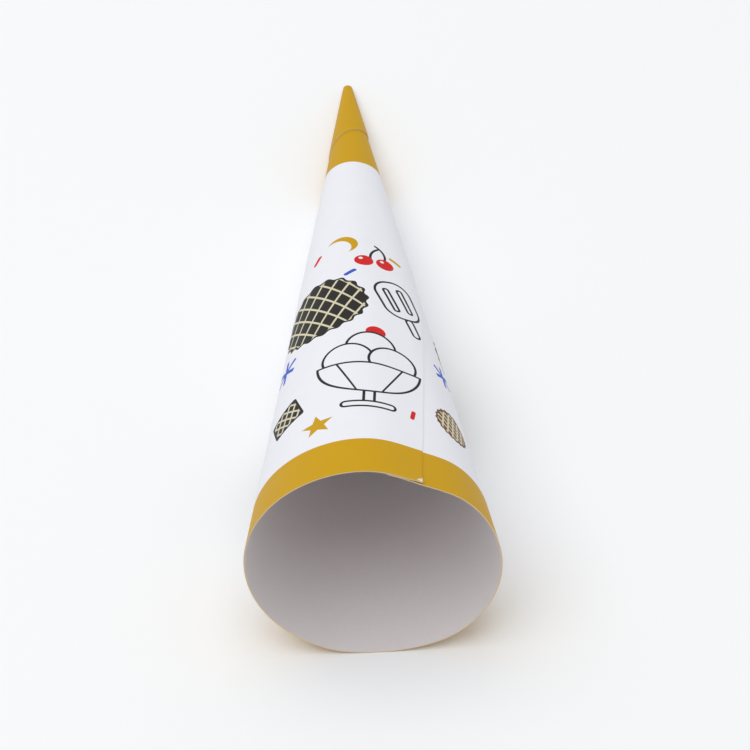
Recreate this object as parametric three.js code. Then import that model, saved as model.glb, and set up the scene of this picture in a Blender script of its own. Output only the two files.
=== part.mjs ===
// Ice cream cone sleeve: one die-cut sheet of coated paper, wound into a cone and glued along its overlap.
// Millimetres, +Z up. The sleeve lies on its side on a narrow flat spot, its mouth towards -Y and its tip
// towards +Y. The origin is under the middle of its box.
//
// The flat sheet is a sector with a wing: a straight inner edge that runs through the apex, the round rim,
// and a straight outer edge that passes the apex at a distance. Wound up, the outer edge runs down and
// round the cone as a spiral, and the wing gives the tip its two and a half turns.
import * as THREE from 'three';
import { mergeVertices } from 'three/addons/utils/BufferGeometryUtils.js';

const { degToRad, lerp, smoothstep } = THREE.MathUtils;

// Driving dimensions
const SLANT_LENGTH = 152; // from the apex along the paper to the rim
const MOUTH_DIAMETER = 50; // outside the paper
const PAPER = 0.25; // thickness of the sheet
const GLUE_GAP = 0.05; // between one turn and the next
const OVERLAP = 10; // how far the outer turn laps the inner one, along the rim
const EDGE_OFFSET = 19.3; // from the apex to the line of the outer edge, on the flat sheet
const TIP_CUT = 1.5; // the flat sheet is nipped off this far from its apex
const INNER_CORNER = 4; // radius of the sheet's inner corner at the rim
const SEAM_TURN = degToRad(24); // from the top of the mouth, clockwise to the outer edge
const REST_WIDTH = 12; // width of the flat spot at the rim
const RIM_BAND = 10.8; // coloured band at the mouth
const TIP_BAND = 35; // coloured band at the tip, from the apex
const SEAM_DENT = 1.5; // how far the rim draws in beside the seam
const SEAM_DENT_SPREAD = 7.5; // half width of that dent, along the rim
const OVALITY = 0.6; // how much the rim's radius grows and shrinks with its slight oval
const OVAL_TURN = degToRad(148); // clockwise from the top of the mouth to the oval's long way

// How the sheet gives way
const REST_BLEND = degToRad(23); // a turn rises off the flat spot over this angle, to let the next one under it
const CORNER_SHARE = 0.9; // the rounded inner corner takes up at most this share of the overlap

// How finely it is divided
const CORNER_COLUMNS = 4;
const TIP_ROWS = 3;
const WALL_ROWS = 6;
const RIM_ROWS = 2;
const SHORT_TIP_SHARE = 0.8; // on a short column the tip's rows take up this share of it
const SHORT_RIM_SHARE = 0.1; // and the rim's rows this share of what is left

// The cone that the sheet's inner edge lies on, and the turns that follow it outwards
const pitch = PAPER + GLUE_GAP;
const rimRadius = MOUTH_DIAMETER / 2 - PAPER - pitch / 2;
const coneSine = rimRadius / SLANT_LENGTH;
const coneCosine = Math.sqrt(1 - coneSine ** 2);

// Angles around the cone, measured along the sheet from its inner edge
const overlapWrap = OVERLAP / rimRadius;
const innerCorner = Math.min(INNER_CORNER, CORNER_SHARE * OVERLAP);
const cornerWrap = 2 * Math.PI + overlapWrap;
const footWrap = cornerWrap + Math.acos(EDGE_OFFSET / SLANT_LENGTH) / coneSine;
const innerEdgeTurn = SEAM_TURN - overlapWrap;

// The flat spot is a plane that runs below the axis from the tip to the rim
const restWrap = Math.PI - innerEdgeTurn;
const tipRestRadius = (pitch * restWrap) / (2 * Math.PI) + PAPER;
const rimRestRadius = rimRadius + tipRestRadius + outOfRound(Math.PI);
const restShare = Math.sqrt(1 - (REST_WIDTH / 2 / rimRestRadius) ** 2);
const restSlope = (restShare * (rimRestRadius - tipRestRadius)) / (SLANT_LENGTH * coneCosine);

// How far from the apex the sheet reaches, on the line at this wrap
function reach(wrap) {
  if (wrap >= cornerWrap) return EDGE_OFFSET / Math.cos((footWrap - wrap) * coneSine);
  const fromCorner = Math.max(innerCorner - wrap * rimRadius, 0);
  return SLANT_LENGTH - innerCorner + Math.sqrt(innerCorner ** 2 - fromCorner ** 2);
}

// The wrap at which the outer edge crosses this distance from the apex
function outerWrap(distance) {
  return footWrap - Math.acos(Math.min(EDGE_OFFSET / distance, 1)) / coneSine;
}

// How many turns lie outside this point of the sheet, rising smoothly as the next turn comes near
function turnsOutside(wrap, distance) {
  let turns = 0;
  for (let next = wrap + 2 * Math.PI; next < footWrap + 2 * REST_BLEND; next += 2 * Math.PI) {
    turns += smoothstep(outerWrap(distance) - next, -2 * REST_BLEND, -REST_BLEND);
  }
  return turns;
}

// How far the paper stands off a true cone at the rim: drawn in beside the seam, and slightly oval
function outOfRound(turn) {
  const fromSeam = Math.atan2(Math.sin(turn - SEAM_TURN), Math.cos(turn - SEAM_TURN)) * rimRadius;
  return OVALITY * Math.cos(2 * (turn - OVAL_TURN)) - SEAM_DENT * Math.exp(-((fromSeam / SEAM_DENT_SPREAD) ** 2));
}

// A point of the wound sheet, with the apex at the origin and the axis along -Y
function wound(wrap, distance, depth) {
  const turn = innerEdgeTurn + wrap;
  const stretch = (distance / SLANT_LENGTH) ** 2;
  const innerFace = coneSine * distance + (pitch * wrap) / (2 * Math.PI) + stretch * outOfRound(turn);
  const outermost = innerFace + PAPER + pitch * turnsOutside(wrap, distance);
  const restDepth = restShare * lerp(tipRestRadius, rimRestRadius, distance / SLANT_LENGTH);
  const below = -Math.cos(turn) * outermost;
  const pressedIn = below > restDepth ? outermost * (1 - restDepth / below) : 0;
  const radius = innerFace + depth - pressedIn;
  return new THREE.Vector3(radius * Math.sin(turn), -coneCosine * distance, radius * Math.cos(turn));
}

// Equal steps from one value up to another, which is left out
function steps(from, to, count) {
  return Array.from({ length: count }, (_, i) => lerp(from, to, i / count));
}

function stepsNoLonger(from, to, longest) {
  return steps(from, to, Math.max(1, Math.ceil((to - from) / longest)));
}

// The sheet's columns run from the apex outwards. They repeat every turn, so that the facets of two turns
// lie parallel and never touch. At the rim a facet sags by half the glue gap.
function sheetColumns() {
  const facet = 2 * Math.acos(1 - GLUE_GAP / MOUTH_DIAMETER);
  const cornerEnd = innerCorner / rimRadius;
  const oneTurn = [
    ...steps(0, Math.PI / 2, CORNER_COLUMNS).map((bend) => cornerEnd * (1 - Math.cos(bend))),
    ...stepsNoLonger(cornerEnd, overlapWrap, facet),
    ...stepsNoLonger(overlapWrap, 2 * Math.PI, facet),
  ];
  const columns = [];
  for (let turn = 0; turn < footWrap; turn += 2 * Math.PI) {
    columns.push(...oneTurn.map((wrap) => turn + wrap).filter((wrap) => wrap < footWrap));
  }
  return [...columns, footWrap];
}

// The rows across them fall on the ends of the coloured bands where a column is long enough to cross them
function columnRows(length) {
  const tipBandEnd = Math.min(TIP_BAND, SHORT_TIP_SHARE * length);
  const rimBandStart = Math.max(length - RIM_BAND, lerp(length, tipBandEnd, SHORT_RIM_SHARE));
  return [
    ...steps(TIP_CUT, tipBandEnd, TIP_ROWS),
    ...steps(tipBandEnd, rimBandStart, WALL_ROWS),
    ...steps(rimBandStart, length, RIM_ROWS),
    length,
  ];
}

// The sheet starts as a flat block of cells, whose x runs back along the wrap, y out to the rim and z
// through the paper
function sleeveGeometry() {
  const columns = sheetColumns();
  const rows = columns.map((wrap) => columnRows(reach(wrap)));
  const across = columns.length - 1;
  const along = rows[0].length - 1;
  const block = new THREE.BoxGeometry(1, 1, 1, across, along, 1);
  block.deleteAttribute('normal');
  block.deleteAttribute('uv');
  const sheet = mergeVertices(block);
  const corners = sheet.getAttribute('position');
  const isPrinted = [];
  for (let i = 0; i < corners.count; i += 1) {
    const column = Math.round((0.5 - corners.getX(i)) * across);
    const distance = rows[column][Math.round((corners.getY(i) + 0.5) * along)];
    const depth = (corners.getZ(i) + 0.5) * PAPER;
    const inBand = distance <= TIP_BAND || distance >= SLANT_LENGTH - RIM_BAND;
    isPrinted.push(inBand && depth > 0);
    corners.setXYZ(i, ...wound(columns[column], distance, depth));
  }
  groupByPrint(sheet, isPrinted);
  sheet.computeVertexNormals();
  return sheet;
}

// Facets inside the coloured bands take the second material
function groupByPrint(sheet, isPrinted) {
  const facets = [[], []];
  const index = sheet.getIndex();
  for (let i = 0; i < index.count; i += 3) {
    const facet = [index.getX(i), index.getX(i + 1), index.getX(i + 2)];
    facets[facet.every((corner) => isPrinted[corner]) ? 1 : 0].push(...facet);
  }
  sheet.setIndex([...facets[0], ...facets[1]]);
  sheet.addGroup(0, facets[0].length, 0);
  sheet.addGroup(facets[0].length, facets[1].length, 1);
}

// Laid on its flat spot, over the origin
function paperSleeve() {
  const coatedPaper = new THREE.MeshStandardMaterial({ color: 0xeceae9, roughness: 0.6, metalness: 0 });
  const printedBand = new THREE.MeshStandardMaterial({ color: 0xcb9d0e, roughness: 0.55, metalness: 0 });
  const sleeve = new THREE.Mesh(sleeveGeometry(), [coatedPaper, printedBand]);
  sleeve.name = 'paper_sleeve';
  sleeve.rotation.x = -Math.atan(restSlope);
  sleeve.updateMatrixWorld();
  const box = new THREE.Box3().setFromObject(sleeve, true);
  const middle = box.getCenter(new THREE.Vector3());
  sleeve.position.set(-middle.x, -middle.y, -box.min.z);
  return sleeve;
}

const group = new THREE.Group();
group.add(paperSleeve());

export default group;
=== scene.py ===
import math
from collections import namedtuple

import bmesh
import bpy
from bpy.props import FloatProperty, FloatVectorProperty, PointerProperty
from mathutils import Matrix, Quaternion, Vector, noise


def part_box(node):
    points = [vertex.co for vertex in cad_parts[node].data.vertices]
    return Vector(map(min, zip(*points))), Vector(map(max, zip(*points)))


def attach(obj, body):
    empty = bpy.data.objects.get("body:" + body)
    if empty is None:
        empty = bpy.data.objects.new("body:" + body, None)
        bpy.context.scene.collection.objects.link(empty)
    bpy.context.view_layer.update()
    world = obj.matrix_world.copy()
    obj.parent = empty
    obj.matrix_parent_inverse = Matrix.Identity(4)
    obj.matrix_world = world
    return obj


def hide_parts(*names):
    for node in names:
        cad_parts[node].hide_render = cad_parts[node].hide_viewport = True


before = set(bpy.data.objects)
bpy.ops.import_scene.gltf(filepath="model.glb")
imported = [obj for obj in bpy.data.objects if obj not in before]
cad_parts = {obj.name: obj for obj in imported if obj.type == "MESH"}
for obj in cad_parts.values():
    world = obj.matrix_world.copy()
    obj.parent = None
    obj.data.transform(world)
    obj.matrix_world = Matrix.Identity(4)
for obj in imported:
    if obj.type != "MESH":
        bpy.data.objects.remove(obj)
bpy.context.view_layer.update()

bl_info = {
    "name": "Ice cream cone sleeve",
    "version": (1, 0, 0),
    "blender": (4, 5, 0),
    "location": "3D View > Sidebar > Cone sleeve",
    "description": "Cuts, prints and winds a paper sleeve for an ice cream cone, and sets up its studio",
    "category": "Object",
}

MM = 0.001
CAD_NODE = "paper_sleeve"
SHEET_PLACE = "sheet_place"  # each vertex keeps where it lay on the flat sheet, in metres from the apex

# The paper's three surfaces, by their material's place
PRINTED_SIDE = 0
PLAIN_SIDE = 1
CUT_FACE = 2

# The texture map is laid out as the flat sheet, in shares of the slant length. The printed side has its full
# size, the plain side is small and lies in the free corner, and the cut faces are strips along the outline.
TEXTURE_MAP = "OFBake"
LAYOUT_SIZE = 1.14
LAYOUT_MARGIN = 0.0165
PLAIN_APEX = Vector((0.74, 0.052))
PLAIN_SCALE = 0.4
STRIP_GAP = 0.004
STRIP_STRETCH = 3  # a strip is this many times as wide as the paper is thick

# How finely the flat sheet is divided
COLUMNS_PER_TURN = 144
ROW_LENGTH = 1.6 * MM
CORNER_CUTS = 8
NEARLY_TOUCHING = 0.004 * MM


def from_hex(code):
    """A colour as Blender's linear red, green and blue, from the code that a printer would quote."""
    channels = [(code >> shift & 255) / 255 for shift in (16, 8, 0)]
    return tuple(c / 12.92 if c <= 0.04045 else ((c + 0.055) / 1.055) ** 2.4 for c in channels)


def length(name, description, default):
    return FloatProperty(name=name, description=description, default=default, unit="LENGTH", precision=5)


def angle(name, description, degrees):
    return FloatProperty(name=name, description=description, default=math.radians(degrees), subtype="ANGLE")


def colour(name, description, code):
    return FloatVectorProperty(
        name=name, description=description, default=from_hex(code), subtype="COLOR", min=0, max=1, size=3
    )


def flat_direction(turned):
    """On the flat sheet, the way that points away from the apex at this angle from the inner edge."""
    return Vector((math.sin(turned), -math.cos(turned), 0))


class SheetSizes(bpy.types.PropertyGroup):
    slant: length("Slant length", "From the apex along the paper to the rim", 152 * MM)
    mouth: length("Mouth", "Diameter of the mouth, outside the paper", 50 * MM)
    paper: length("Paper", "Thickness of the sheet", 0.25 * MM)
    glue: length("Glue gap", "Between one turn and the next", 0.05 * MM)
    overlap: length("Overlap", "How far the outer turn laps the inner one, along the rim", 10 * MM)
    edge_offset: length("Edge offset", "From the apex to the line of the outer edge, flat", 19.3 * MM)
    tip_cut: length("Tip cut", "The flat sheet is nipped off this far from its apex", 1.5 * MM)
    inner_corner: length("Inner corner", "Radius of the inner corner at the rim", 4 * MM)
    seam_turn: angle("Seam", "From the top of the mouth, clockwise to the outer edge", 24)
    rest_width: length("Flat spot", "Width of the flat spot at the rim", 12 * MM)
    seam_dent: length("Seam dent", "How far the rim draws in beside the seam", 1.5 * MM)
    dent_spread: length("Dent spread", "Half width of that dent, along the rim", 7.5 * MM)
    ovality: length("Ovality", "How much the rim's radius grows and shrinks", 0.6 * MM)
    oval_turn: angle("Oval's long way", "Clockwise from the top of the mouth", 148)
    waviness: length("Waviness", "How far the paper dips between its high places", 0.12 * MM)
    edge_press: length("Edge press", "How far the outer edge is pressed into the glue", 0.03 * MM)
    corner_lift: length("Corner lift", "How far the outer corner curls up at the rim", 0.4 * MM)


class PrintSettings(bpy.types.PropertyGroup):
    rim_band: length("Rim band", "Width of the coloured band at the mouth", 10.8 * MM)
    tip_band: length("Tip band", "Reach of the coloured band at the tip, from the apex", 35 * MM)
    coated: colour("Coated side", "The white of the printed side", 0xF2F2F8)
    # The plain side's grey is partly the uncoated paper's own tint and partly painted shade, darkened to
    # stand for the shade inside the cone
    plain_and_painted_shade: colour("Plain side", "The uncoated inside", 0xE1DADA)
    core: colour("Cut edge", "The fibres that show along a cut", 0xEFECE6)
    mustard: colour("Mustard", "Both bands, the stars and the crescents", 0xCE9F0E)
    black: colour("Black", "Large wafers and outlines", 0x23211F)
    cream: colour("Cream", "The wafers' lattice", 0xDAD2B4)
    red: colour("Red", "Cherries and sprinkles", 0xD4211C)
    blue: colour("Blue", "Snowflakes and sprinkles", 0x3A5BC8)
    brown: colour("Brown", "Small wafers", 0x6E4A30)


class StudioSettings(bpy.types.PropertyGroup):
    floor: colour("Floor", "The pale floor", 0xF9FAFB)
    azimuth: angle("View azimuth", "Round from straight in front of the mouth", -1.316)
    elevation: angle("View elevation", "Above the floor", 51.758)
    roll: angle("View roll", "Tilt of the camera about its own axis", -1.469)
    distance: length("View distance", "From the camera to the middle of the view", 0.66536)
    lens: FloatProperty(name="Lens", description="Focal length", default=156.4, unit="CAMERA", min=1)


class Winding:
    """The cone that the flat sheet is wound into. Lengths are in metres, and a wrap is an angle round the
    cone, measured along the sheet from its inner edge."""

    NEXT_TURN_BLEND = math.radians(23)  # a turn makes room for the next one over this angle
    REST_SPREAD = 6  # the paper gives way underneath over this many times the depth of the flat spot
    PRESS_SPREAD = 1.2 * MM  # how far from the outer edge the press of the glue is felt
    CURL_SPREAD = 2 * MM  # how far from the outer corner it curls up

    # Two sizes of dips, and the share of each in the paper's unevenness
    BROAD_DIP = 30 * MM
    BROAD_SHARE = 0.7
    FINE_DIP = 11 * MM
    FINE_SHARE = 0.3
    FINE_START = Vector((7, 3, 5))  # keeps the fine dips from lining up with the broad ones

    def __init__(self, sizes):
        self.sizes = sizes
        self.pitch = sizes.paper + sizes.glue
        self.rim_radius = sizes.mouth / 2 - sizes.paper - self.pitch / 2
        self.sine = self.rim_radius / sizes.slant
        self.cosine = math.sqrt(1 - self.sine**2)
        overlap_wrap = sizes.overlap / self.rim_radius
        self.corner_wrap = math.tau + overlap_wrap
        self.foot_wrap = self.corner_wrap + math.acos(sizes.edge_offset / sizes.slant) / self.sine
        self.towards_foot = flat_direction(self.foot_wrap * self.sine)
        self.outer_corner = flat_direction(self.corner_wrap * self.sine) * sizes.slant
        self.inner_turn = sizes.seam_turn - overlap_wrap
        self.tip_rest = self.pitch * (math.pi - self.inner_turn) / math.tau + sizes.paper
        self.rim_rest = self.rim_radius + self.tip_rest + self.out_of_round(math.pi)
        self.rest_share = math.sqrt(1 - (sizes.rest_width / 2 / self.rim_rest) ** 2)
        run = sizes.slant * self.cosine
        self.rest_slope = math.atan(self.rest_share * (self.rim_rest - self.tip_rest) / run)

    def out_of_round(self, turn):
        """How far the rim stands off a true circle at this turn from its top."""
        sizes = self.sizes
        apart = turn - sizes.seam_turn
        from_seam = math.atan2(math.sin(apart), math.cos(apart)) * self.rim_radius
        dent = sizes.seam_dent * math.exp(-((from_seam / sizes.dent_spread) ** 2))
        return sizes.ovality * math.cos(2 * (turn - sizes.oval_turn)) - dent

    def turns_outside(self, wrap, distance):
        """How many turns lie outside this point. The count rises smoothly as the next turn comes near."""
        edge_share = min(self.sizes.edge_offset / distance, 1)
        outer_wrap = self.foot_wrap - math.acos(edge_share) / self.sine
        turns = 0
        following = wrap + math.tau
        while following < self.foot_wrap + 2 * self.NEXT_TURN_BLEND:
            near = (outer_wrap - following) / self.NEXT_TURN_BLEND + 2
            near = min(max(near, 0), 1)
            turns += near * near * (3 - 2 * near)
            following += math.tau
        return turns

    def dips(self, turn, distance):
        """The gentle unevenness of rolled paper: never outwards, so that the sleeve keeps its size."""
        radius = self.sine * distance
        place = Vector((radius * math.sin(turn), radius * math.cos(turn), distance))
        broad = noise.noise(place / self.BROAD_DIP)
        fine = noise.noise(place / self.FINE_DIP + self.FINE_START)
        return self.sizes.waviness * (self.BROAD_SHARE * broad + self.FINE_SHARE * fine - 1) / 2

    def lift(self, flat):
        """The outer edge is pressed down into the glue, and its corner at the rim curls up a little."""
        sizes = self.sizes
        from_edge = sizes.edge_offset - self.towards_foot.dot(flat)
        from_corner = (self.outer_corner - flat).length
        pressed = sizes.edge_press * math.exp(-((from_edge / self.PRESS_SPREAD) ** 2))
        return sizes.corner_lift * math.exp(-((from_corner / self.CURL_SPREAD) ** 2)) - pressed

    def pressed_in(self, turn, outermost, rest_depth):
        """How far the paper gives way underneath: most on the lowest line, which comes to the floor."""
        spare = outermost - rest_depth
        below = -math.cos(turn) * outermost
        if spare <= 0 or below <= 0:
            return 0
        reach = min(self.REST_SPREAD * spare, outermost)
        near = max((below - outermost) / reach + 1, 0)
        return outermost * spare * near * near / below

    def place(self, point):
        """Where a point of the flat sheet comes to lie, with the apex at the origin and the axis along -Y."""
        flat = Vector((point.x, point.y, 0))
        distance = flat.length
        share = distance / self.sizes.slant
        wrap = math.atan2(point.x, -point.y) / self.sine
        turn = self.inner_turn + wrap
        inside = self.sine * distance + self.pitch * wrap / math.tau
        inside += share**2 * self.out_of_round(turn) + self.dips(turn, distance)
        outermost = inside + self.sizes.paper + self.pitch * self.turns_outside(wrap, distance)
        rest_depth = self.rest_share * (self.tip_rest + (self.rim_rest - self.tip_rest) * share)
        radius = inside + point.z + self.lift(flat) - self.pressed_in(turn, outermost, rest_depth)
        return Vector((radius * math.sin(turn), -self.cosine * distance, radius * math.cos(turn)))


def cut_sheet(winding):
    """The flat sheet, as die-cut: a grid spread into a fan about the apex, trimmed to its outer edge and its
    inner corner."""
    sizes = winding.sizes
    columns = math.ceil(winding.foot_wrap / math.tau * COLUMNS_PER_TURN)
    fan = columns / COLUMNS_PER_TURN * math.tau * winding.sine
    rows = math.ceil((sizes.slant - sizes.tip_cut) / ROW_LENGTH)
    sheet = bmesh.new()
    bmesh.ops.create_grid(sheet, x_segments=columns, y_segments=rows, size=0.5)
    for vert in sheet.verts:
        distance = sizes.tip_cut + (sizes.slant - sizes.tip_cut) * (vert.co.y + 0.5)
        vert.co = flat_direction(fan * (vert.co.x + 0.5)) * distance
    trim(sheet, winding.towards_foot * sizes.edge_offset, winding.towards_foot)
    middle = Vector((sizes.inner_corner, sizes.inner_corner - sizes.slant, 0))
    for cut in range(CORNER_CUTS):
        lean = (cut + 0.5) / CORNER_CUTS * math.pi / 2
        outwards = Vector((-math.sin(lean), -math.cos(lean), 0))
        trim(sheet, middle + outwards * sizes.inner_corner, outwards)
    bmesh.ops.remove_doubles(sheet, verts=sheet.verts, dist=NEARLY_TOUCHING)
    return sheet


def trim(sheet, place, outwards):
    """Cuts the sheet along a straight line and drops what lies beyond it."""
    geometry = [*sheet.verts, *sheet.edges, *sheet.faces]
    bmesh.ops.bisect_plane(sheet, geom=geometry, plane_co=place, plane_no=outwards, clear_outer=True)


def thicken(sheet, paper):
    """Gives the flat sheet its thickness, with the printed side up, and tells its three surfaces apart."""
    bmesh.ops.solidify(sheet, geom=sheet.faces[:], thickness=paper)
    lowest = min(vert.co.z for vert in sheet.verts)
    bmesh.ops.translate(sheet, verts=sheet.verts, vec=(0, 0, -lowest))
    bmesh.ops.recalc_face_normals(sheet, faces=sheet.faces)
    for face in sheet.faces:
        face.smooth = True
        face.material_index = CUT_FACE
        if abs(face.normal.z) > 0.5:
            face.material_index = PRINTED_SIDE if face.normal.z > 0 else PLAIN_SIDE
    for edge in sheet.edges:
        edge.smooth = len({face.material_index for face in edge.link_faces}) == 1
    place = sheet.verts.layers.float_vector.new(SHEET_PLACE)
    for vert in sheet.verts:
        vert[place] = vert.co


def lay_out(sheet, sizes):
    """Gives the flat sheet its texture map, on which no two faces overlap."""
    layout = sheet.loops.layers.uv.new(TEXTURE_MAP)
    for face in sheet.faces:
        for loop in face.loops:
            place = loop.vert.co.xy / sizes.slant
            if face.material_index == PLAIN_SIDE:
                place = PLAIN_APEX + place * PLAIN_SCALE
            if face.material_index == CUT_FACE:
                deep = (sizes.paper - loop.vert.co.z) / sizes.slant
                place += face.normal.xy * (STRIP_GAP + STRIP_STRETCH * deep)
            loop[layout].uv = (place + Vector((LAYOUT_MARGIN, 1 + LAYOUT_MARGIN))) / LAYOUT_SIZE


def wound_sleeve(winding):
    """The sleeve's object, wound, laid on its flat spot and set where the CAD sleeve lies."""
    sheet = cut_sheet(winding)
    thicken(sheet, winding.sizes.paper)
    lay_out(sheet, winding.sizes)
    for vert in sheet.verts:
        vert.co = winding.place(vert.co)
    laid_down = Matrix.Rotation(-winding.rest_slope, 4, "X")
    bmesh.ops.transform(sheet, matrix=laid_down, verts=sheet.verts)
    low = Vector(min(vert.co[axis] for vert in sheet.verts) for axis in range(3))
    high = Vector(max(vert.co[axis] for vert in sheet.verts) for axis in range(3))
    cad_low, cad_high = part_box(CAD_NODE)
    move = (cad_low + cad_high - low - high) / 2
    move.z = cad_low.z - low.z
    bmesh.ops.translate(sheet, verts=sheet.verts, vec=move)
    mesh = bpy.data.meshes.new("wound_paper")
    sheet.to_mesh(mesh)
    sheet.free()
    sleeve = bpy.data.objects.new("wound_paper", mesh)
    bpy.context.scene.collection.objects.link(sleeve)
    return sleeve


class Field:
    """A number that varies over the paper: a node's output that takes part in sums."""

    def __init__(self, tree, socket):
        self.tree = tree
        self.socket = socket

    def then(self, operation, *others, clamp=False):
        """This field put through one Math node, with other fields or plain numbers."""
        maths = self.tree.nodes.new("ShaderNodeMath")
        maths.operation = operation
        maths.use_clamp = clamp
        for slot, value in enumerate((self, *others)):
            if isinstance(value, Field):
                self.tree.links.new(value.socket, maths.inputs[slot])
            else:
                maths.inputs[slot].default_value = value
        return Field(self.tree, maths.outputs[0])

    def __add__(self, other):
        return self.then("ADD", other)

    def __sub__(self, other):
        return self.then("SUBTRACT", other)

    def __rsub__(self, other):
        return self.then("MULTIPLY_ADD", -1, other)

    def __mul__(self, other):
        return self.then("MULTIPLY", other)

    def __abs__(self):
        return self.then("ABSOLUTE")

    def least(self, *others):
        result = self
        for other in others:
            result = result.then("MINIMUM", other)
        return result

    def most(self, *others):
        result = self
        for other in others:
            result = result.then("MAXIMUM", other)
        return result


# Shapes for the print. Each is a field that is above 0 inside the shape and tells how deep.

LATTICE_SLANT = 0.62


def disc(x, y, radius, at=(0, 0)):
    x = x - at[0]
    y = y - at[1]
    return radius - (x * x + y * y).then("SQRT")


def rounded_box(x, y, half, corner, at=(0, 0)):
    across = (abs(x - at[0]) - (half[0] - corner)).most(0)
    along = (abs(y - at[1]) - (half[1] - corner)).most(0)
    return corner - (across * across + along * along).then("SQRT")


def outline(shape, width):
    return width / 2 - abs(shape)


def drawn(shape, line, ink, inks):
    """The two layers of a shape drawn in outline, which hides what lies under it."""
    return [(shape, inks.coated), (outline(shape, line), ink)]


def lattice(x, y, step, width):
    """Two sets of slanting bars, as on a waffle."""
    rising = (x + y * LATTICE_SLANT).then("PINGPONG", step / 2)
    falling = (x - y * LATTICE_SLANT).then("PINGPONG", step / 2)
    return (width / 2 - rising).most(width / 2 - falling)


# Motifs of the print. x and y run from -1 to 1 over the motif, with +y towards the tip of the sleeve, and
# line is the width of a drawn line on that scale. Each gives its layers, bottom one first.

SCALLOPS = 20
SCALLOP_DEPTH = 0.03
ARM_HALF = 0.13  # of a snowflake
STAR_FLANK = (0.36, 0.93)  # the way that one side of a star's point faces, along the point and across it


def round_wafer(x, y, line, ink, inks):
    scallops = (y.then("ARCTAN2", x) * SCALLOPS).then("COSINE") * SCALLOP_DEPTH
    edge = disc(x, y, 0.965) + scallops
    bars = lattice(x, y, 0.34, line)
    return [(edge, ink), ((edge - line).least(bars), inks.cream)]


def square_wafer(x, y, line, ink, inks):
    edge = rounded_box(x, y, half=(0.92, 0.92), corner=0.14)
    bars = lattice(x, y, 0.5, line)
    return [(edge, ink), ((edge - line).least(bars), inks.cream)]


def lolly(x, y, line, ink, inks):
    """An ice lolly with two grooves and its stick."""
    stick = rounded_box(x, y, half=(0.09, 0.3), corner=0.085, at=(0, -0.66))
    body = rounded_box(x, y, half=(0.44, 0.66), corner=0.4, at=(0, 0.3))
    layers = drawn(stick, line, ink, inks) + drawn(body, line, ink, inks)
    for side in (-0.17, 0.17):
        groove = rounded_box(x, y, half=(0.06, 0.4), corner=0.055, at=(side, 0.3))
        layers.append((outline(groove, line), ink))
    return layers


def coupe(x, y, line, ink, inks):
    """Three scoops in a footed glass, with a cherry on top."""
    layers = [(disc(x, y, 0.14, at=(0.05, 0.87)), inks.red)]
    for scoop in ((0, 0.5), (-0.31, 0.2), (0.31, 0.2)):
        layers += drawn(disc(x, y, 0.34, at=scoop), line, ink, inks)
    stem = rounded_box(x, y, half=(0.07, 0.16), corner=0.03, at=(0, -0.74))
    foot = rounded_box(x, y, half=(0.36, 0.06), corner=0.055, at=(0, -0.92))
    bowl = disc(x, y, 0.72, at=(0, 0.1)).least(0.08 - y)
    flutes = outline(abs(x) - (y * 0.42 + 0.42), line * 0.8).least(bowl)
    layers += drawn(stem, line, ink, inks) + drawn(foot, line, ink, inks)
    return layers + [(bowl, inks.coated), (flutes, ink), (outline(bowl, line), ink)]


def cherries(x, y, line, ink, inks):
    """A pair with highlights, on two curved stalks that meet."""
    left_stalk = outline(disc(x, y, 0.95, at=(0.75, -0.12)), line).least(y + 0.3, 0.1 - x)
    right_stalk = outline(disc(x, y, 0.8, at=(-0.42, 0)), line).least(y + 0.3, x + 0.1)
    layers = [(stalk.least(0.82 - y), inks.black) for stalk in (left_stalk, right_stalk)]
    for across, along in ((-0.42, -0.5), (0.4, -0.42)):
        layers.append((disc(x, y, 0.36, at=(across, along)), ink))
        layers.append((disc(x, y, 0.08, at=(across - 0.13, along + 0.14)), inks.coated))
    return layers


def star(x, y, line, ink, inks):
    """Five points, folded into half a point by the angle from the nearest one."""
    folded = x.then("ARCTAN2", y).then("PINGPONG", math.pi / 5)
    radius = (x * x + y * y).then("SQRT")
    along = radius * folded.then("COSINE")
    across = radius * folded.then("SINE")
    return [(STAR_FLANK[0] - (along * STAR_FLANK[0] + across * STAR_FLANK[1]), ink)]


def snowflake(x, y, line, ink, inks):
    """Three bars that cross."""
    leans = [spoke * math.pi / 3 for spoke in range(3)]
    bars = [ARM_HALF - abs(x * math.cos(lean) + y * math.sin(lean)) for lean in leans]
    return [(bars[0].most(*bars[1:]).least(disc(x, y, 0.95)), ink)]


def sprinkle(x, y, line, ink, inks):
    return [(rounded_box(x, y, half=(0.95, 0.3), corner=0.29), ink)]


def crescent(x, y, line, ink, inks):
    return [(disc(x, y, 0.95).least(disc(x, y, 0.9, at=(0.42, 0.2)) * -1), ink)]


Motif = namedtuple("Motif", "draw wrap distance lean size ink")

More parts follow.
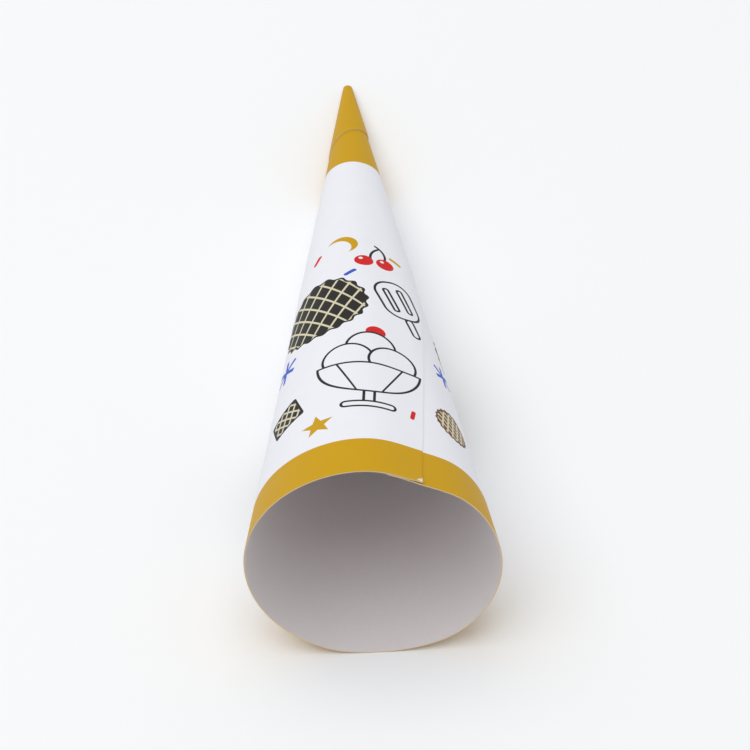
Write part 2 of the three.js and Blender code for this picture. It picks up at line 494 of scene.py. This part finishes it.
# Where each motif is printed: degrees round the cone from the sheet's inner edge, millimetres from the
# apex, lean in degrees, half size in millimetres and ink
MOTIFS = (
    Motif(round_wafer, 326, 92, 10, 10.5, "black"),
    Motif(coupe, 363, 116, -4, 14.5, "black"),
    Motif(square_wafer, 311, 125, 24, 4.2, "black"),
    Motif(cherries, 377, 74, -8, 5.4, "red"),
    Motif(lolly, 394, 92, 14, 9.5, "black"),
    Motif(star, 334, 134, 8, 3.4, "mustard"),
    Motif(snowflake, 299, 106, 0, 3.8, "blue"),
    Motif(crescent, 344, 70, 200, 3.4, "mustard"),
    Motif(round_wafer, 54, 127, 15, 4.8, "brown"),
    Motif(snowflake, 63, 108, 0, 3.4, "blue"),
    Motif(round_wafer, 104, 98, -8, 10, "black"),
    Motif(star, 84, 122, -10, 3.2, "mustard"),
    Motif(cherries, 122, 127, 12, 5.6, "red"),
    Motif(lolly, 153, 108, -12, 12, "black"),
    Motif(square_wafer, 146, 82, -20, 4, "brown"),
    Motif(coupe, 206, 112, 6, 14, "black"),
    Motif(star, 182, 88, 12, 3.2, "mustard"),
    Motif(snowflake, 178, 133, 12, 3.4, "blue"),
    Motif(cherries, 262, 88, 10, 5.2, "red"),
    Motif(round_wafer, 255, 118, -6, 10, "black"),
    Motif(crescent, 231, 84, 30, 3.2, "mustard"),
    Motif(sprinkle, 352, 81, 40, 1.6, "blue"),
    Motif(sprinkle, 398, 74, -30, 1.6, "mustard"),
    Motif(sprinkle, 385, 130, 75, 1.6, "red"),
    Motif(sprinkle, 317, 72, 60, 1.6, "red"),
    Motif(sprinkle, 283, 132, 60, 1.6, "blue"),
    Motif(sprinkle, 229, 133, 10, 1.6, "red"),
)

LINE_WIDTH = 0.55  # millimetres
INK_FEATHER = 0.05  # millimetres over which ink fades into the paper


def opaque(channels, shade=1):
    """A colour for a node's socket, darkened to a share of itself."""
    return (*(channel * shade for channel in channels), 1)


class Inks:
    """The print's colours by name, for the node sockets."""

    def __init__(self, settings):
        for name in ("coated", "core", "mustard", "black", "cream", "red", "blue", "brown"):
            setattr(self, name, opaque(getattr(settings, name)))


def sheet_fields(tree, centre=(0, 0), lean=0, unit=MM):
    """The two coordinates on the flat sheet, measured from a centre in units of a given length."""
    place = tree.nodes.new("ShaderNodeAttribute")
    place.attribute_name = SHEET_PLACE
    mapping = tree.nodes.new("ShaderNodeMapping")
    mapping.vector_type = "TEXTURE"
    mapping.inputs["Location"].default_value = (*centre, 0)
    mapping.inputs["Rotation"].default_value = (0, 0, lean)
    mapping.inputs["Scale"].default_value = (unit, unit, unit)
    tree.links.new(place.outputs["Vector"], mapping.inputs["Vector"])
    split = tree.nodes.new("ShaderNodeSeparateXYZ")
    tree.links.new(mapping.outputs[0], split.inputs[0])
    return Field(tree, split.outputs[0]), Field(tree, split.outputs[1])


# A Mix node's sockets when it mixes colours
MIX_SHARE = 0
MIX_BELOW = 6
MIX_ABOVE = 7
MIX_RESULT = 2


def blend(tree, below, above, share, way="MIX"):
    """One colour over another, by a share from 0 to 1. Each is a field, a socket or a plain value."""
    mix = tree.nodes.new("ShaderNodeMix")
    mix.data_type = "RGBA"
    mix.blend_type = way
    for slot, value in ((MIX_SHARE, share), (MIX_BELOW, below), (MIX_ABOVE, above)):
        if isinstance(value, Field):
            value = value.socket
        if isinstance(value, bpy.types.NodeSocket):
            tree.links.new(value, mix.inputs[slot])
        else:
            mix.inputs[slot].default_value = value
    return mix.outputs[MIX_RESULT]


def print_over(tree, below, shape, ink, unit):
    """Prints a shape, given in units of a number of millimetres, over a colour."""
    share = shape.then("MULTIPLY_ADD", unit / INK_FEATHER, 0.5, clamp=True)
    return blend(tree, below, ink, share)


Grain = namedtuple("Grain", "scale detail roughness", defaults=(0.5,))

# Grains of the paper's three surfaces and of its wear, as settings of the noise
WEAR = Grain(1400, 2)
MOTTLE = Grain(260, 3)
COATED_FIBRES = Grain(1800, 4, 0.6)
COATED_RIPPLE = Grain(300, 2)
PLAIN_FIBRES = Grain(1400, 5, 0.65)
CUT_FIBRES = Grain(6000, 3, 0.7)


def object_noise(tree, grain):
    """Noise through the piece itself, by its Object coordinates."""
    coordinates = tree.nodes.new("ShaderNodeTexCoord")
    texture = tree.nodes.new("ShaderNodeTexNoise")
    texture.inputs["Scale"].default_value = grain.scale
    texture.inputs["Detail"].default_value = grain.detail
    texture.inputs["Roughness"].default_value = grain.roughness
    tree.links.new(coordinates.outputs["Object"], texture.inputs["Vector"])
    return Field(tree, texture.outputs["Fac"])


TIP_PLATE_SHIFT = (0.5 * MM, -0.4 * MM)  # the tip's band is printed slightly off the sheet's apex


def coloured_bands(tree, winding, settings):
    """The field of both bands, in millimetres."""
    x, y = sheet_fields(tree)
    rim_band = (x * x + y * y).then("SQRT") - (winding.sizes.slant - settings.rim_band) / MM
    x, y = sheet_fields(tree, TIP_PLATE_SHIFT)
    return rim_band.most(disc(x, y, settings.tip_band / MM))


WORN_CORNER = 0.9  # millimetres
WORN_RAGGEDNESS = 3  # millimetres that its outline wanders over the full range of the grain
WORN_SHARPNESS = 2  # share of the ink that is gone for each millimetre further in


def worn_corner(tree, winding):
    """Where the ink has worn off the sheet's outer corner, from 0 to 1."""
    x, y = sheet_fields(tree, winding.outer_corner.xy)
    ragged = (object_noise(tree, WEAR) - 0.5) * WORN_RAGGEDNESS
    return (disc(x, y, WORN_CORNER) + ragged).then("MULTIPLY", WORN_SHARPNESS, clamp=True)


def printed_colour(tree, winding, settings):
    """The printed side's colour: motifs on white, between the two bands."""
    inks = Inks(settings)
    paper = inks.coated
    for motif in MOTIFS:
        turned = math.radians(motif.wrap) * winding.sine
        centre = flat_direction(turned) * motif.distance * MM
        lean = turned + math.radians(motif.lean)
        x, y = sheet_fields(tree, centre.xy, lean, motif.size * MM)
        for shape, ink in motif.draw(x, y, LINE_WIDTH / motif.size, getattr(inks, motif.ink), inks):
            paper = print_over(tree, paper, shape, ink, motif.size)
    inked = print_over(tree, paper, coloured_bands(tree, winding, settings), inks.mustard, 1)
    return blend(tree, inked, inks.core, worn_corner(tree, winding))


def new_material(name):
    material = bpy.data.materials.new(name)
    material.use_nodes = True
    return material, material.node_tree, material.node_tree.nodes["Principled BSDF"]


# How deep the fibres stand out
COATED_RELIEF = 0.012 * MM
BARE_RELIEF = 0.03 * MM

# How dark the paper is between its fibres, as a share of its colour
MOTTLE_SHADE = 0.955
PLAIN_SHADE = 0.94
CUT_SHADE = 0.86

COATED_ROUGHNESS = 0.44
MOTTLE_ROUGHNESS = 0.14  # more where the mottle is at its highest
EDGE_STAIN = 0.55


def add_bump(tree, shader, height, distance):
    bump = tree.nodes.new("ShaderNodeBump")
    bump.inputs["Distance"].default_value = distance
    tree.links.new(height.socket, bump.inputs["Height"])
    tree.links.new(bump.outputs[0], shader.inputs["Normal"])


def printed_side(winding, settings):
    """Coated paper with its print: a satin face, very slightly mottled."""
    material, tree, shader = new_material("printed_paper")
    ink = printed_colour(tree, winding, settings)
    mottle = object_noise(tree, MOTTLE)
    white = (1, 1, 1)
    shade = blend(tree, opaque(white, MOTTLE_SHADE), opaque(white), mottle)
    tree.links.new(blend(tree, ink, shade, 1, "MULTIPLY"), shader.inputs["Base Color"])
    roughness = mottle.then("MULTIPLY_ADD", MOTTLE_ROUGHNESS, COATED_ROUGHNESS)
    tree.links.new(roughness.socket, shader.inputs["Roughness"])
    shader.inputs["Specular IOR Level"].default_value = 0.12
    relief = object_noise(tree, COATED_FIBRES) * 0.5 + object_noise(tree, COATED_RIPPLE) * 0.5
    add_bump(tree, shader, relief, COATED_RELIEF)
    return material


def plain_side(settings):
    """The uncoated inside: matt and fibrous. Its colour is darker than the paper's own off-white, as painted
    shade of the cone's interior.
    """
    material, tree, shader = new_material("plain_paper_painted_shade")
    fibres = object_noise(tree, PLAIN_FIBRES)
    # painted shade: the inside's colour sits below the paper's own tint to stand for the shade within the
    # cone; the fibres vary it at random
    paper = blend(tree, opaque(settings.plain_and_painted_shade, PLAIN_SHADE), opaque(settings.plain_and_painted_shade), fibres)
    tree.links.new(paper, shader.inputs["Base Color"])
    shader.inputs["Roughness"].default_value = 0.85
    shader.inputs["Specular IOR Level"].default_value = 0.3
    add_bump(tree, shader, fibres, BARE_RELIEF)
    return material


def cut_edge(winding, settings):
    """Bare fibres along the die cuts, stained by ink at the coloured bands but for the worn corner."""
    material, tree, shader = new_material("paper_edge")
    fibres = object_noise(tree, CUT_FIBRES)
    bare = blend(tree, opaque(settings.core, CUT_SHADE), opaque(settings.core), fibres)
    stain = coloured_bands(tree, winding, settings).then("GREATER_THAN", 0) * EDGE_STAIN
    stain = stain * (1 - worn_corner(tree, winding))
    tree.links.new(blend(tree, bare, opaque(settings.mustard), stain), shader.inputs["Base Color"])
    shader.inputs["Roughness"].default_value = 0.95
    shader.inputs["Specular IOR Level"].default_value = 0.2
    add_bump(tree, shader, fibres, BARE_RELIEF)
    return material


class SLEEVE_OT_paper_sleeve(bpy.types.Operator):
    """Cuts the sheet, winds it into the sleeve and gives it its print and its paper"""

    bl_idname = "sleeve.paper_sleeve"
    bl_label = "Paper sleeve"

    def execute(self, context):
        winding = Winding(context.scene.sleeve_sheet)
        settings = context.scene.sleeve_print
        sleeve = wound_sleeve(winding)
        for material in (printed_side(winding, settings), plain_side(settings), cut_edge(winding, settings)):
            sleeve.data.materials.append(material)
        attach(sleeve, "root")
        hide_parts(CAD_NODE)
        return {"FINISHED"}


# The studio, in metres and watts
FLOOR_HALF = 4
KEY_SIZE = 1.5
KEY_PLACE = Vector((-0.3, -0.05, 1.35))
KEY_POWER = 12
FILL_COLOUR = (0.98, 0.99, 1)
FILL_STRENGTH = 0.545
VIEW_TARGET = Vector((0.00252, -0.01567, 0.012))
NEAREST_SEEN = 0.01


def lay_floor(settings):
    mesh = bpy.data.meshes.new("studio_floor")
    floor = bmesh.new()
    bmesh.ops.create_grid(floor, x_segments=1, y_segments=1, size=FLOOR_HALF)
    floor.to_mesh(mesh)
    floor.free()
    plane = bpy.data.objects.new("studio_floor", mesh)
    bpy.context.scene.collection.objects.link(plane)
    material, tree, shader = new_material("studio_floor")
    shader.inputs["Base Color"].default_value = opaque(settings.floor)
    shader.inputs["Roughness"].default_value = 0.9
    shader.inputs["Specular IOR Level"].default_value = 0.1
    mesh.materials.append(material)


def hang_lamp():
    light = bpy.data.lights.new("key_light", "AREA")
    light.shape = "SQUARE"
    light.size = KEY_SIZE
    light.energy = KEY_POWER
    key = bpy.data.objects.new("key_light", light)
    key.location = KEY_PLACE
    key.rotation_euler = (KEY_PLACE - VIEW_TARGET).to_track_quat("Z", "Y").to_euler()
    bpy.context.scene.collection.objects.link(key)


def light_world(settings):
    """A soft fill from all round. The camera and glossy rays see the floor's own pale colour instead."""
    world = bpy.data.worlds.new("studio")
    world.use_nodes = True
    bpy.context.scene.world = world
    tree = world.node_tree
    fill = tree.nodes["Background"]
    fill.inputs["Color"].default_value = opaque(FILL_COLOUR)
    fill.inputs["Strength"].default_value = FILL_STRENGTH
    seen = tree.nodes.new("ShaderNodeBackground")
    seen.inputs["Color"].default_value = opaque(settings.floor)
    path = tree.nodes.new("ShaderNodeLightPath")
    direct = Field(tree, path.outputs["Is Camera Ray"]).most(
        Field(tree, path.outputs["Is Glossy Ray"]), Field(tree, path.outputs["Is Transmission Ray"])
    )
    mix = tree.nodes.new("ShaderNodeMixShader")
    tree.links.new(direct.socket, mix.inputs[0])
    tree.links.new(fill.outputs[0], mix.inputs[1])
    tree.links.new(seen.outputs[0], mix.inputs[2])
    tree.links.new(mix.outputs[0], tree.nodes["World Output"].inputs["Surface"])


def set_camera(settings):
    """The photograph's viewing direction and distance, aimed at the sleeve through a longer lens."""
    camera = bpy.data.cameras.new("camera")
    camera.lens = settings.lens
    camera.clip_start = NEAREST_SEEN
    eye = bpy.data.objects.new("camera", camera)
    level = math.cos(settings.elevation)
    back = Vector((math.sin(settings.azimuth) * level, -math.cos(settings.azimuth) * level, 0))
    back.z = math.sin(settings.elevation)
    eye.location = VIEW_TARGET + back * settings.distance
    roll = Quaternion((0, 0, 1), settings.roll)
    eye.rotation_euler = (back.to_track_quat("Z", "Y") @ roll).to_euler()
    bpy.context.scene.collection.objects.link(eye)
    bpy.context.scene.camera = eye


class SLEEVE_OT_studio(bpy.types.Operator):
    """Lays the floor, hangs the lamp, sets the soft fill and aims the camera"""

    bl_idname = "sleeve.studio"
    bl_label = "Studio"

    def execute(self, context):
        settings = context.scene.sleeve_studio
        lay_floor(settings)
        hang_lamp()
        light_world(settings)
        set_camera(settings)
        context.scene.view_settings.view_transform = "Standard"
        return {"FINISHED"}


class SLEEVE_PT_panel(bpy.types.Panel):
    bl_idname = "SLEEVE_PT_panel"
    bl_label = "Cone sleeve"
    bl_space_type = "VIEW_3D"
    bl_region_type = "UI"
    bl_category = "Cone sleeve"

    def draw(self, context):
        scene = context.scene
        self.list_settings(scene.sleeve_sheet)
        self.list_settings(scene.sleeve_print)
        self.layout.operator(SLEEVE_OT_paper_sleeve.bl_idname)
        self.list_settings(scene.sleeve_studio)
        self.layout.operator(SLEEVE_OT_studio.bl_idname)

    def list_settings(self, group):
        for name in group.bl_rna.properties.keys():
            if name not in ("name", "rna_type"):
                self.layout.prop(group, name)


CLASSES = (
    SheetSizes,
    PrintSettings,
    StudioSettings,
    SLEEVE_OT_paper_sleeve,
    SLEEVE_OT_studio,
    SLEEVE_PT_panel,
)


def register():
    for cls in CLASSES:
        bpy.utils.register_class(cls)
    bpy.types.Scene.sleeve_sheet = PointerProperty(type=SheetSizes)
    bpy.types.Scene.sleeve_print = PointerProperty(type=PrintSettings)
    bpy.types.Scene.sleeve_studio = PointerProperty(type=StudioSettings)


def unregister():
    del bpy.types.Scene.sleeve_sheet
    del bpy.types.Scene.sleeve_print
    del bpy.types.Scene.sleeve_studio
    for cls in reversed(CLASSES):
        bpy.utils.unregister_class(cls)


def main():
    register()
    bpy.ops.sleeve.paper_sleeve()
    bpy.ops.sleeve.studio()


if __name__ == "__main__":
    main()
